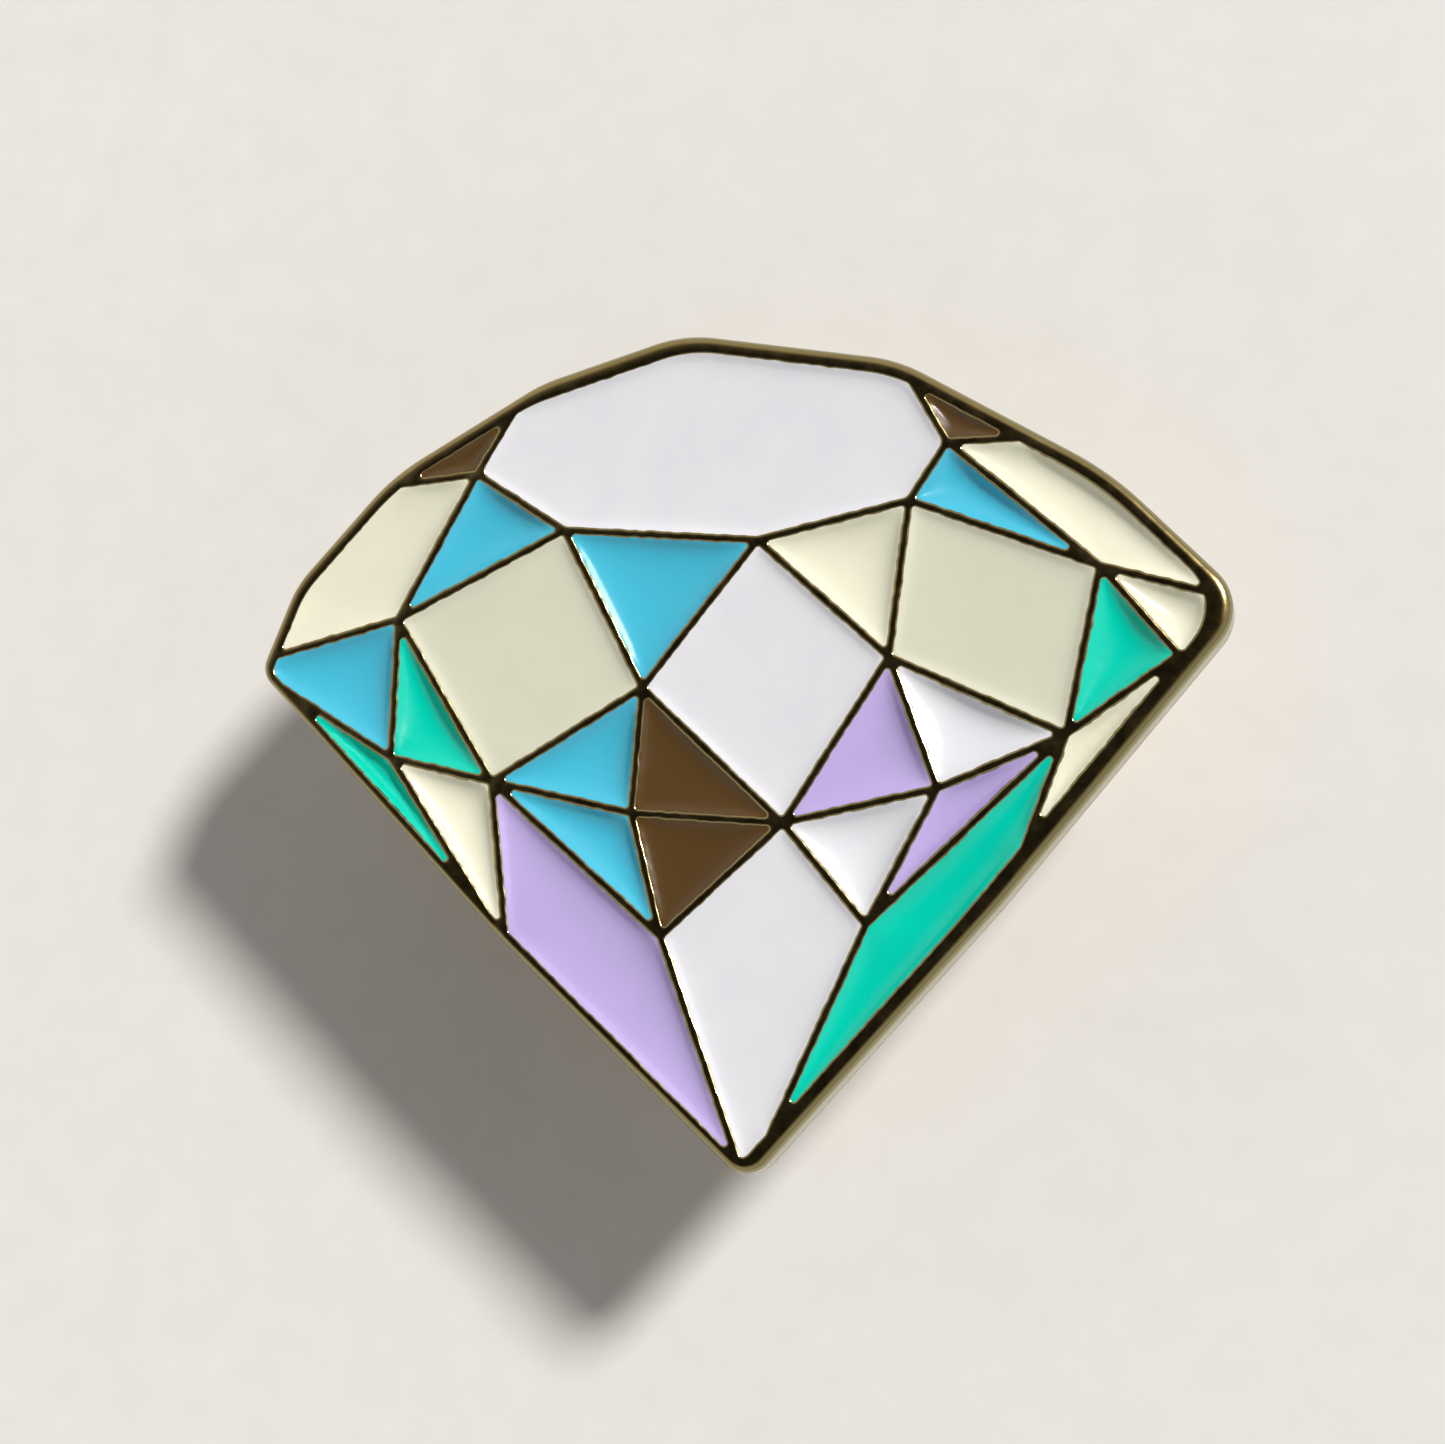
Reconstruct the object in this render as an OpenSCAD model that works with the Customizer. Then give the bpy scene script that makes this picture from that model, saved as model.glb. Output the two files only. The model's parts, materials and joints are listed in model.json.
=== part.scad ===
// Soft enamel pin in the shape of a cut gem, with two posts and butterfly clutches.
// +Z points out of the face, +Y to the gem's flat top, and the back face of the plate is z = 0.

/* [Plate] */
// Width of the pin from its left corner to its right corner
pin_w = 35; // [32:0.5:38]
// Thickness of the plate, back face to the top of the raised lines
plate_t = 1.6; // [1.4:0.1:2]
// Width of the raised rim, before the factor of each side
rim_w = 0.58; // [0.5:0.02:0.64]
// Width of the raised lines between the facets
line_w = 0.38; // [0.3:0.02:0.42]
// Depth of the recesses below the raised lines
recess_d = 0.55; // [0.4:0.05:0.7]
// Depth of the enamel surface below the raised lines, at the middle of a facet
enamel_sink = 0.18; // [0.1:0.02:0.25]
// Radius of the corners of each recess
cell_r = 0.05; // [0.03:0.01:0.12]
// Radius of the corners of the recess of the table, the large facet at the top
table_r = 0.3; // [0.1:0.1:0.8]

/* [Posts] */
// Distance of each post from the middle of the plate
post_x = 7.5; // [7:0.5:9]
// Height of the posts above the middle of the plate
post_y = 3.5; // [2:0.5:4]
// Length of a post from the back of the plate to its tip
post_len = 8; // [7.5:0.5:10]
// Diameter of a post
post_d = 1.2; // [1:0.1:1.2]
// Diameter of the pad at the root of a post
pad_d = 3.2; // [2.6:0.2:4]
// Thickness of that pad
pad_t = 0.35; // [0.3:0.05:0.5]

/* [Clutches] */
// Diameter of the clutch cup
cup_d = 11.5; // [11:0.5:12]
// Thickness of the clutch sheet metal
sheet_t = 0.4; // [0.35:0.05:0.45]
// Outer diameter of the clutch cover
cover_d = 7.4; // [7.2:0.1:7.6]
// Height from the cup's face to the inside of the closed cover
clutch_in_h = 5.95; // [5.9:0.01:5.95]
// Reach of a squeeze wing from the clutch axis
wing_reach = 6.8; // [6.4:0.1:7]
// Width of a wing inside the cover
wing_in_w = 4.2; // [4:0.1:4.2]
// Width of the finger pad of a wing
wing_out_w = 4.8; // [4.4:0.1:5]
// Radial clearance of a post in its clutch and of a wing's pivot in the cover
run_gap = 0.05; // [0.03:0.01:0.08]

/* [Hidden] */

eps = 0.01;
arc_steps = 10;

gold = "darkgoldenrod";
white = "whitesmoke";
beige = "lightgoldenrodyellow";
cream = "cornsilk";
blue = "mediumturquoise";
green = "mediumaquamarine";
brown = "saddlebrown";
lilac = "plum";

// ---- Gem outline, on the drawing grid, anticlockwise from the tip. Each row holds a corner, its
// ---- radius, the radius of the rim's inner edge there, and the width of the rim along the side
// ---- that follows, as a factor of rim_w. ----
outline_corners = [
  [[-0.05, -15.35], 1, 0.4, 1.3],      // tip
  [[9.05, -5.6], 25, 25, 1.4],         // slight bend of the lower right side
  [[18.05, 4.85], 1.8, 1.85, 1.15],    // right corner
  [[13.2, 9.85], 12, 12, 1.15],
  [[5.6, 14.42], 6, 5.5, 1.2],         // right end of the flat top
  [[-2.4, 15.87], 5, 4.5, 1.35],       // crest
  [[-7.85, 14.3], 6, 5.5, 1.1],        // left end of the flat top
  [[-13.65, 11.05], 8, 7.5, 1],
  [[-17.4, 7], 4, 3.5, 0.95],
  [[-18.75, 3.7], 0.9, 0.35, 0.75],    // left corner
  [[-9.25, -6.45], 25, 25, 0.8]        // slight bend of the lower left side
];

function unit(v) = v / norm(v);
function cross_z(a, b) = a[0] * b[1] - a[1] * b[0];

// Points of an arc of radius r that rounds the corner b between a and c
function round_corner(a, b, c, r, n) =
  let (
    to_a = unit(a - b), to_c = unit(c - b),
    half = acos(to_a * to_c) / 2,
    mid = b + unit(to_a + to_c) * r / sin(half),
    start = b + to_a * r / tan(half) - mid,
    turn = (180 - 2 * half) * sign(cross_z(b - a, c - b)),
    a0 = atan2(start[1], start[0])
  )
  [for (i = [0:n]) mid + r * [cos(a0 + turn * i / n), sin(a0 + turn * i / n)]];

function rounded(corners, n) =
  let (m = len(corners))
  [for (i = [0:m - 1])
    each round_corner(corners[(i + m - 1) % m][0], corners[i][0], corners[(i + 1) % m][0],
                      corners[i][1], n)];

// Inward normal of the outline side from a to b
function inward(a, b) = unit([a[1] - b[1], b[0] - a[0]]);

// The corners of the rim's inner edge: each side of the outline moved in by its own width
function rim_corner(i) =
  let (
    m = len(outline_corners),
    before = outline_corners[(i + m - 1) % m], here = outline_corners[i],
    after = outline_corners[(i + 1) % m],
    n0 = inward(before[0], here[0]), n1 = inward(here[0], after[0]),
    w0 = rim_w * before[3], w1 = rim_w * here[3],
    shift = [w0 * n1[1] - w1 * n0[1], w1 * n0[0] - w0 * n1[0]] / cross_z(n0, n1)
  )
  [here[0] + shift, here[2]];

drawn = rounded(outline_corners, arc_steps);
rim_inside = rounded([for (i = [0:len(outline_corners) - 1]) rim_corner(i)], arc_steps);
low = [min([for (p = drawn) p[0]]), min([for (p = drawn) p[1]])];
high = [max([for (p = drawn) p[0]]), max([for (p = drawn) p[1]])];
grid_mid = (low + high) / 2;
grid_scale = pin_w / (high[0] - low[0]);
function to_plate(p) = (p - grid_mid) * grid_scale;

// ---- Facet junctions, on the drawing grid ----
table_left = [-10.3, 10.9];
table_low_left = [-6.9, 8.6];
table_low = [0.4, 7.9];
table_low_right = [6, 9.1];
table_right = [7.4, 11.2];
rim_table_left = [-8.7, 13.5];
rim_table_right = [6.3, 13.2];
rim_brown_left = [-13.4, 10.65];
rim_brown_right = [10, 11.2];
girdle_left = [-13.3, 5.5];
girdle_right = [12.8, 6.4];
rim_left_upper = [-18.1, 4.3];
rim_left_lower = [-18, 3.2];
rim_right_upper = [16.5, 5.3];
rim_right_lower = [15.5, 3.1];
star_left = [-3.9, 2.6];
star_right = [5.2, 3.4];
kite_left_low = [-9.6, -0.7];
kite_middle_low = [1.3, -2.5];
kite_right_low = [11.5, 0.4];
green_left_low = [-13.5, 0.3];
brown_left = [-4.3, -2];
lilac_right = [6.9, -1.4];
pavilion_left = [-3.2, -6.5];
pavilion_right = [4.3, -6.2];
rim_low_left = [-9.8, -5.45];
rim_lilac_left = [-9, -6.4];
rim_green_right = [10, -3.45];
rim_tip_left = [-0.4, -14.4];
rim_tip_right = [0.7, -13.8];

// A point carried out past the rim, for facets that the rim closes
function past(p) = p * 1.25;

// ---- Facets: [colour, corners]. The rim trims those that reach past it. ----
facets = [
  [white, [table_left, table_low_left, table_low, table_low_right, table_right, rim_table_right,
           past(rim_table_right), [-2, 20], past(rim_table_left), rim_table_left]],
  [brown, [table_left, rim_table_left, past(rim_table_left), past(rim_brown_left), rim_brown_left]],
  [brown, [table_right, rim_brown_right, past(rim_brown_right), past(rim_table_right), rim_table_right]],
  [cream, [table_left, rim_brown_left, past(rim_brown_left), past([-17.4, 7]), past(rim_left_upper),
           rim_left_upper, girdle_left]],
  [cream, [table_right, girdle_right, rim_right_upper, past(rim_right_upper), past([13.15, 9.8]),
           past(rim_brown_right), rim_brown_right]],
  [blue, [table_left, girdle_left, table_low_left]],
  [blue, [table_right, table_low_right, girdle_right]],
  [blue, [table_low_left, star_left, table_low]],
  [cream, [table_low, star_right, table_low_right]],
  [beige, [table_low_left, girdle_left, kite_left_low, star_left]],
  [beige, [table_low_right, star_right, kite_right_low, girdle_right]],
  [white, [table_low, star_left, kite_middle_low, star_right]],
  [blue, [girdle_left, rim_left_upper, past(rim_left_upper), past(rim_left_lower), rim_left_lower,
          green_left_low]],
  [green, [girdle_left, green_left_low, kite_left_low]],
  [green, [girdle_right, kite_right_low, rim_right_lower]],
  [cream, [girdle_right, rim_right_lower, past(rim_right_lower), past(rim_right_upper), rim_right_upper]],
  [green, [green_left_low, rim_left_lower, past(rim_left_lower), past(rim_low_left), rim_low_left]],
  [cream, [green_left_low, rim_low_left, past(rim_low_left), past(rim_lilac_left), rim_lilac_left,
           kite_left_low]],
  [blue, [star_left, kite_left_low, brown_left]],
  [blue, [kite_left_low, pavilion_left, brown_left]],
  [brown, [star_left, brown_left, kite_middle_low]],
  [brown, [brown_left, pavilion_left, kite_middle_low]],
  [lilac, [star_right, kite_middle_low, lilac_right]],
  [white, [star_right, lilac_right, kite_right_low]],
  [lilac, [lilac_right, pavilion_right, kite_right_low]],
  [white, [kite_middle_low, pavilion_right, lilac_right]],
  [green, [pavilion_right, rim_tip_right, past(rim_tip_right), past([8.95, -5.55]), past(rim_green_right),
           rim_green_right, kite_right_low]],
  [cream, [kite_right_low, rim_green_right, past(rim_green_right), past(rim_right_lower),
           rim_right_lower]],
  [lilac, [kite_left_low, rim_lilac_left, past(rim_lilac_left), past(rim_tip_left), rim_tip_left,
           pavilion_left]],
  [white, [pavilion_left, rim_tip_left, past(rim_tip_left), past(rim_tip_right), rim_tip_right,
           pavilion_right, kite_middle_low]]
];

// ---- Clutch measures, seen along its own axis: z = 0 at the face that meets the cloth ----
post_r = post_d / 2;
tip_gap = 0.04;
cloth_gap = post_len + tip_gap - clutch_in_h;
cup_rim_r = sheet_t;
cup_boss_h = 0.75;
cup_boss_r = 1.5;
cover_r = cover_d / 2;
cover_flange_r = cover_r + 0.9;
cover_h = clutch_in_h + sheet_t;
shoulder_r = 1.2;
window_w = wing_in_w + 0.2;
window_z = [1.25, 5.4];
wing_t = sheet_t + 0.05;
jaw_z = 1.8;
jaw_gap = 0.04;
pivot = [2.2, 3.2];
pivot_r = 0.3;
// The wing seen from its side: jaw, heel, pivot, cover window, tip and its flat end
wing_path = [[jaw_gap, jaw_z], [1.35, jaw_z], pivot, [3.7, 4.45], [wing_reach - 1, 6.3],
             [wing_reach, 6.65]];
// The spring seen from its side: two legs under a flat web
spring_t = 0.2;
spring_w = 2.4;
spring_leg_x = 2.35;
spring_foot_z = 4.1;
spring_web_z = 5.75;

// Outline of a strip of thickness t that follows a path
function side_of(path, i) =
  let (
    n = len(path) - 1,
    back = i > 0 ? unit(path[i] - path[i - 1]) : unit(path[1] - path[0]),
    ahead = i < n ? unit(path[i + 1] - path[i]) : back,
    along = unit(back + ahead)
  )
  [-along[1], along[0]] / (along * back);
function strip(path, t) =
  let (n = len(path) - 1)
  concat([for (i = [0:n]) path[i] + side_of(path, i) * t / 2],
         [for (i = [n:-1:0]) path[i] - side_of(path, i) * t / 2]);

// ---- Plate and enamel ----
module gem_outline() {
  polygon([for (p = drawn) to_plate(p)]);
}

module facet_2d(i) {
  r = i == 0 ? table_r : cell_r;
  offset(r = r, $fn = 32)
    offset(delta = -r)
      intersection() {
        polygon([for (p = rim_inside) to_plate(p)]);
        offset(delta = -line_w / 2) polygon([for (p = facets[i][1]) to_plate(p)]);
      }
}

module base_plate() {
  color(gold)
    difference() {
      linear_extrude(plate_t) gem_outline();
      for (i = [0:len(facets) - 1])
        translate([0, 0, plate_t - recess_d])
          linear_extrude(recess_d + 1) facet_2d(i);
      for (side = [-1, 1])
        translate([side * post_x, post_y, -1]) cylinder(d = pad_d, h = pad_t + 1, $fn = 48);
    }
}

module enamel(i) {
  color(facets[i][0])
    translate([0, 0, plate_t - recess_d])
      linear_extrude(recess_d - enamel_sink) facet_2d(i);
}

// ---- Posts: a pad set flush into the back, a plain shaft, a groove and a sharpened tip ----
module post(side) {
  groove_z = post_len - 1.7;
  color(gold)
    translate([side * post_x, post_y, 0])
      rotate([180, 0, 0])
        rotate_extrude($fn = 48)
          polygon([[0, -pad_t], [pad_d / 2, -pad_t], [pad_d / 2, 0], [post_r, 0], [post_r, groove_z],
                   [post_r - 0.15, groove_z + 0.15], [post_r - 0.15, groove_z + 0.4],
                   [post_r, groove_z + 0.55], [post_r, post_len - 0.9], [0.12, post_len],
                   [0, post_len]]);
}

// ---- Clutch. Its wings lie along the local X axis, which is turned to the plate's Y axis. ----
module place_clutch(side) {
  translate([side * post_x, post_y, -cloth_gap])
    rotate([180, 0, 0])
      rotate([0, 0, 90])
        children();
}

module clutch_cup(side) {
  color(gold)
    place_clutch(side)
      rotate_extrude($fn = 96) {
        translate([post_r + run_gap, 0]) square([cup_d / 2 - cup_rim_r - post_r - run_gap, sheet_t]);
        translate([post_r + run_gap, 0]) square([cup_boss_r - post_r - run_gap, cup_boss_h]);
        translate([cup_d / 2 - cup_rim_r, cup_rim_r]) circle(r = cup_rim_r, $fn = 32);
      }
}

module cover_shell() {
  rotate_extrude($fn = 96) {
    translate([cover_r - sheet_t, sheet_t])
      square([sheet_t, cover_h - shoulder_r - sheet_t]);
    translate([cover_r - sheet_t, sheet_t])
      square([cover_flange_r - cover_r + sheet_t, sheet_t]);
    translate([0, clutch_in_h]) square([cover_r - shoulder_r, sheet_t]);
    translate([cover_r - shoulder_r, cover_h - shoulder_r])
      intersection() {
        difference() {
          circle(r = shoulder_r, $fn = 48);
          circle(r = shoulder_r - sheet_t, $fn = 48);
        }
        square(shoulder_r + 1);
      }
  }
}

module clutch_cover(side) {
  color(gold)
    place_clutch(side)
      difference() {
        cover_shell();
        translate([-cover_d, -window_w / 2, window_z[0]])
          cube([2 * cover_d, window_w, window_z[1] - window_z[0]]);
        for (s = [-1, 1])
          translate([s * pivot[0], 0, pivot[1]])
            rotate([90, 0, 0]) cylinder(r = pivot_r + run_gap, h = cover_d, center = true, $fn = 32);
      }
}

module clutch_wing(side, way) {
  pivot_len = 2 * sqrt(pow(cover_r - sheet_t, 2) - pow(pivot[0], 2)) + sheet_t;
  color(gold)
    place_clutch(side)
      rotate([0, 0, way > 0 ? 0 : 180]) {
        difference() {
          intersection() {
            rotate([90, 0, 0])
              linear_extrude(wing_out_w + 1, center = true) polygon(strip(wing_path, wing_t));
            linear_extrude(cover_h + 2) wing_plan();
          }
          translate([0, 0, -eps]) cylinder(r = post_r + jaw_gap, h = jaw_z + 1, $fn = 48);
        }
        translate([pivot[0], 0, pivot[1]])
          rotate([90, 0, 0]) cylinder(r = pivot_r, h = pivot_len, center = true, $fn = 32);
      }
}

module wing_plan() {
  translate([0, -wing_in_w / 2]) square([wing_reach - 2, wing_in_w]);
  intersection() {
    translate([wing_reach - wing_out_w / 2, 0]) circle(d = wing_out_w, $fn = 64);
    translate([cover_r + 0.3, -wing_out_w]) square(2 * wing_out_w);
  }
}

module clutch_spring(side) {
  color("silver")
    place_clutch(side)
      difference() {
        rotate([90, 0, 0])
          linear_extrude(spring_w, center = true)
            polygon(strip([[-spring_leg_x, spring_foot_z], [-spring_leg_x, spring_web_z],
                           [spring_leg_x, spring_web_z], [spring_leg_x, spring_foot_z]], spring_t));
        translate([0, 0, spring_web_z - 1]) cylinder(r = post_r + 0.3, h = 2, $fn = 32);
      }
}

base_plate();
enamel(0);  // enamel_table
enamel(1);  // enamel_brown_top_left
enamel(2);  // enamel_brown_top_right
enamel(3);  // enamel_cream_left
enamel(4);  // enamel_cream_right
enamel(5);  // enamel_star_left
enamel(6);  // enamel_star_right
enamel(7);  // enamel_star_middle
enamel(8);  // enamel_star_cream
enamel(9);  // enamel_kite_left
enamel(10);  // enamel_kite_right
enamel(11);  // enamel_kite_middle
enamel(12);  // enamel_girdle_blue_left
enamel(13);  // enamel_girdle_green_left
enamel(14);  // enamel_girdle_green_right
enamel(15);  // enamel_corner_right
enamel(16);  // enamel_sliver_left
enamel(17);  // enamel_cream_low_left
enamel(18);  // enamel_girdle_blue_middle
enamel(19);  // enamel_blue_low
enamel(20);  // enamel_brown_middle
enamel(21);  // enamel_brown_low
enamel(22);  // enamel_lilac_middle
enamel(23);  // enamel_girdle_white
enamel(24);  // enamel_lilac_small
enamel(25);  // enamel_white_low
enamel(26);  // enamel_green_long
enamel(27);  // enamel_sliver_right
enamel(28);  // enamel_lilac_long
enamel(29);  // enamel_white_long
post(-1);  // post_left
post(1);  // post_right
clutch_cup(-1);  // clutch_left_cup
clutch_cover(-1);  // clutch_left_cover
clutch_spring(-1);  // clutch_left_spring
clutch_wing(-1, 1);  // clutch_left_wing_front
clutch_wing(-1, -1);  // clutch_left_wing_rear
clutch_cup(1);  // clutch_right_cup
clutch_cover(1);  // clutch_right_cover
clutch_spring(1);  // clutch_right_spring
clutch_wing(1, 1);  // clutch_right_wing_front
clutch_wing(1, -1);  // clutch_right_wing_rear
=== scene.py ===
"""Looks for the enamel pin: a plated plate with raised lines, glossy enamel in its recesses,
two posts and their butterfly clutches. Lengths inside the helpers are in millimetres."""
import json
import math

import bmesh
import bpy
import numpy as np
from mathutils import Matrix, Vector
from mathutils.geometry import delaunay_2d_cdt


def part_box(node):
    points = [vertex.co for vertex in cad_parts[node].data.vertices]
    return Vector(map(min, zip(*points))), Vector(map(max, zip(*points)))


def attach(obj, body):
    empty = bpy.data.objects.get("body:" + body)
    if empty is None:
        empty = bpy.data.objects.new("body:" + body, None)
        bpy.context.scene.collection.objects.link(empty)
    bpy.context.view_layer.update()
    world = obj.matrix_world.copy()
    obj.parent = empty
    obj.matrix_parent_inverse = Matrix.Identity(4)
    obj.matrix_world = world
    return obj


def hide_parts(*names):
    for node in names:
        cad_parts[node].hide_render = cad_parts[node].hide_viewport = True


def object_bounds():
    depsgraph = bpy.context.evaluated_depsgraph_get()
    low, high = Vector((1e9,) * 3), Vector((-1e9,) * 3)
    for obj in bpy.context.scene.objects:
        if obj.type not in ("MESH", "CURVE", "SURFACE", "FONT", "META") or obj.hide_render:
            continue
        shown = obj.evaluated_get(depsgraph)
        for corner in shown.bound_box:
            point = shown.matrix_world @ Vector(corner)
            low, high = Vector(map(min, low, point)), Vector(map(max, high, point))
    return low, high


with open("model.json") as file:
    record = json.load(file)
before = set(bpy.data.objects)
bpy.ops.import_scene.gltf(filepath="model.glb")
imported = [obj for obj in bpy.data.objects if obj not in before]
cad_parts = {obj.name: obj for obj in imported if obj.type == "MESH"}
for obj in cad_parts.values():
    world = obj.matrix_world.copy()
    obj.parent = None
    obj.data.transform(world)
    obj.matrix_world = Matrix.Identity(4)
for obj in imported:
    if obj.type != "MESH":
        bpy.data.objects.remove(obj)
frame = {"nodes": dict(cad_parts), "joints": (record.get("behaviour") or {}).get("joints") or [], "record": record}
cad_low, cad_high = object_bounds()

MM = 0.001
NEAR = 0.002        # points closer than this, in millimetres, count as one

# The record's material slot of each node
SLOT_OF = {part["node"]: part["material_slot"] for part in frame["record"]["subparts"]}
ENAMELS = sorted(node for node in frame["nodes"] if node.startswith("enamel_"))


# ---------------------------------------------------------------- shapes read from the frame
def box_mm(node):
    low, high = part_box(node)
    return low / MM, high / MM


def loops_at(node, z):
    """Outlines of a CAD node's flat faces at height z, largest first, each anticlockwise."""
    shape = bmesh.new()
    shape.from_mesh(frame["nodes"][node].data)
    bmesh.ops.remove_doubles(shape, verts=shape.verts, dist=NEAR * MM)
    shape.verts.index_update()
    shape.verts.ensure_lookup_table()
    edges = {}
    for face in shape.faces:
        corners = [v.index for v in face.verts]
        if all(abs(v.co.z / MM - z) < NEAR for v in face.verts):
            edges.update(dict.fromkeys(zip(corners, corners[1:] + corners[:1])))
    after = {a: b for a, b in edges if (b, a) not in edges}
    loops = []
    while after:
        start = next(iter(after))
        ring, at = [start], after.pop(start)
        while at != start:
            ring.append(at)
            at = after.pop(at)
        loop = np.array([shape.verts[i].co[:2] for i in ring]) / MM
        loops.append(loop if area(loop) > 0 else loop[::-1])
    shape.free()
    return sorted(loops, key=area, reverse=True)


def area(loop):
    x, y = loop[:, 0], loop[:, 1]
    return float(np.sum(x * np.roll(y, -1) - np.roll(x, -1) * y) / 2)


def segments(loop):
    """The sides of a loop, as (start, end) pairs."""
    return np.stack([loop, np.roll(loop, -1, 0)], 1)


def distance(points, sides):
    """Least distance of each point to the given segments."""
    a, b = sides[:, 0], sides[:, 1]
    along = b - a
    t = ((points[:, None] - a) * along).sum(2) / (along ** 2).sum(1)
    nearest = a + np.clip(t, 0, 1)[..., None] * along
    return np.linalg.norm(points[:, None] - nearest, axis=2).min(1)


def grown(loop, d):
    """An anticlockwise loop moved outwards by d, or inwards where d is negative. d is one number
    or one for each point."""
    ahead = np.roll(loop, -1, 0) - loop
    ahead /= np.linalg.norm(ahead, axis=1)[:, None]
    normal = np.stack([ahead[:, 1], -ahead[:, 0]], 1)
    back = np.roll(normal, 1, 0)
    miter = (normal + back) / (1 + np.sum(normal * back, 1))[:, None]
    return loop + np.reshape(d, (-1, 1)) * miter


# ---------------------------------------------------------------- mesh building
MERGE = 1e-7        # points closer than this, in millimetres, would be merged by a fill


class Shell:
    """Collects vertices and faces in millimetres, and makes one object of them."""

    def __init__(self):
        self.points = []
        self.faces = []

    def ring(self, loop, z):
        first = len(self.points)
        self.points += [(p[0], p[1], z) for p in loop]
        return list(range(first, len(self.points)))

    def bridge(self, low, high):
        """Quads between two rings of one length, facing away from their inside."""
        n = len(low)
        for i in range(n):
            j = (i + 1) % n
            self.faces.append((low[i], low[j], high[j], high[i]))

    def fill(self, outer, holes=(), inner=(), up=True):
        """Triangles between a ring and the rings inside it. inner are more points to pass through."""
        ids = list(outer)
        wires = [list(range(len(outer)))]
        for hole in holes:
            wires.append(list(range(len(ids), len(ids) + len(hole))))
            ids += hole
        ids += list(inner)
        flat = [Vector(self.points[i][:2]) for i in ids]
        out, _, faces, origin, _, inside = delaunay_2d_cdt(flat, [], wires, 0, MERGE)
        if len(out) != len(ids):
            raise ValueError("two outlines cross")
        for face, wire in zip(faces, inside):
            if wire == [0]:
                corners = [ids[origin[i][0]] for i in face]
                self.faces.append(tuple(corners if up else corners[::-1]))

    def make(self, name, material, smooth_deg=40):
        mesh = bpy.data.meshes.new(name)
        mesh.from_pydata([tuple(c * MM for c in p) for p in self.points], [], self.faces)
        mesh.materials.append(material)
        mesh.update()
        obj = bpy.data.objects.new(name, mesh)
        bpy.context.scene.collection.objects.link(obj)
        mesh.shade_smooth()
        mesh.set_sharp_from_angle(angle=math.radians(smooth_deg))
        return obj


def round_over(width, height, steps):
    """(inset, drop) pairs of a quarter ellipse, from a vertical wall up to a flat top."""
    turns = [math.pi / 2 * k / steps for k in range(steps + 1)]
    return [(width * (1 - math.cos(t)), height * (1 - math.sin(t))) for t in turns]


# ---------------------------------------------------------------- materials
PATINA = (0.86, 0.8256, 0.774)        # tint of the dull patches of a metal
METAL_TONE, METAL_WEAR = 0.3, 1.3     # lumps to a millimetre of the tone and of the roughness
DENTS, DENT_DEPTH = 0.9, 0.012        # dents to a millimetre, and their depth
STROKES, STROKE_DEPTH = 9, 0.0012     # polishing strokes to a millimetre, and their depth
BRUSHED = ((1, 0.08, 1), (0, 0, 0.7))            # scale and turn that draw noise out into strokes
LEVEL, SLOPED = 0.97, 0.75            # upright shares of a normal between which the painted reflection on slopes fades in
THIN = (0.965, 0.967, 0.972)          # tint of the enamel where its pigment is thin
CLOUDS, HAZE, PEEL = 0.5, 2.2, 0.7    # lumps to a millimetre of the tint, the gloss and the peel
ENAMEL_GLOSS, PEEL_DEPTH = (0.18, 0.25), 0.006   # roughness from and to, and depth of the peel


def nodes_of(name):
    material = bpy.data.materials.new(name)
    material.use_nodes = True
    tree = material.node_tree
    tree.nodes.clear()
    shader = tree.nodes.new("ShaderNodeBsdfPrincipled")
    output = tree.nodes.new("ShaderNodeOutputMaterial")
    tree.links.new(shader.outputs["BSDF"], output.inputs["Surface"])
    coords = tree.nodes.new("ShaderNodeTexCoord")
    mapping = tree.nodes.new("ShaderNodeMapping")
    mapping.inputs["Scale"].default_value = (1 / MM,) * 3
    tree.links.new(coords.outputs["Object"], mapping.inputs["Vector"])
    return material, tree, shader, mapping


def noise(tree, vector, per_mm, detail=3, roughness=0.5, stretch=None):
    """A noise texture with about per_mm lumps to a millimetre."""
    texture = tree.nodes.new("ShaderNodeTexNoise")
    texture.inputs["Scale"].default_value = per_mm
    texture.inputs["Detail"].default_value = detail
    texture.inputs["Roughness"].default_value = roughness
    if stretch:
        squeeze = tree.nodes.new("ShaderNodeMapping")
        squeeze.inputs["Scale"].default_value = stretch[0]
        squeeze.inputs["Rotation"].default_value = stretch[1]
        tree.links.new(vector, squeeze.inputs["Vector"])
        vector = squeeze.outputs["Vector"]
    tree.links.new(vector, texture.inputs["Vector"])
    return texture.outputs["Fac"]


def ramp(tree, value, stops):
    """A colour ramp: stops are (place, colour) pairs."""
    node = tree.nodes.new("ShaderNodeValToRGB")
    elements = node.color_ramp.elements
    while len(elements) < len(stops):
        elements.new(0.5)
    for element, (place, colour) in zip(elements, stops):
        element.position = place
        element.color = (*colour, 1)
    tree.links.new(value, node.inputs["Fac"])
    return node.outputs["Color"]


def spread(tree, value, low, high):
    """A noise value, which seldom leaves 0.3 to 0.7, taken to the range low to high."""
    node = tree.nodes.new("ShaderNodeMapRange")
    node.inputs["From Min"].default_value = 0.3
    node.inputs["From Max"].default_value = 0.7
    node.inputs["To Min"].default_value = low
    node.inputs["To Max"].default_value = high
    tree.links.new(value, node.inputs["Value"])
    return node.outputs["Result"]


def bump(tree, value, depth_mm, strength, below=None):
    node = tree.nodes.new("ShaderNodeBump")
    node.inputs["Strength"].default_value = strength
    node.inputs["Distance"].default_value = depth_mm * MM
    tree.links.new(value, node.inputs["Height"])
    if below:
        tree.links.new(below, node.inputs["Normal"])
    return node.outputs["Normal"]


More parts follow.
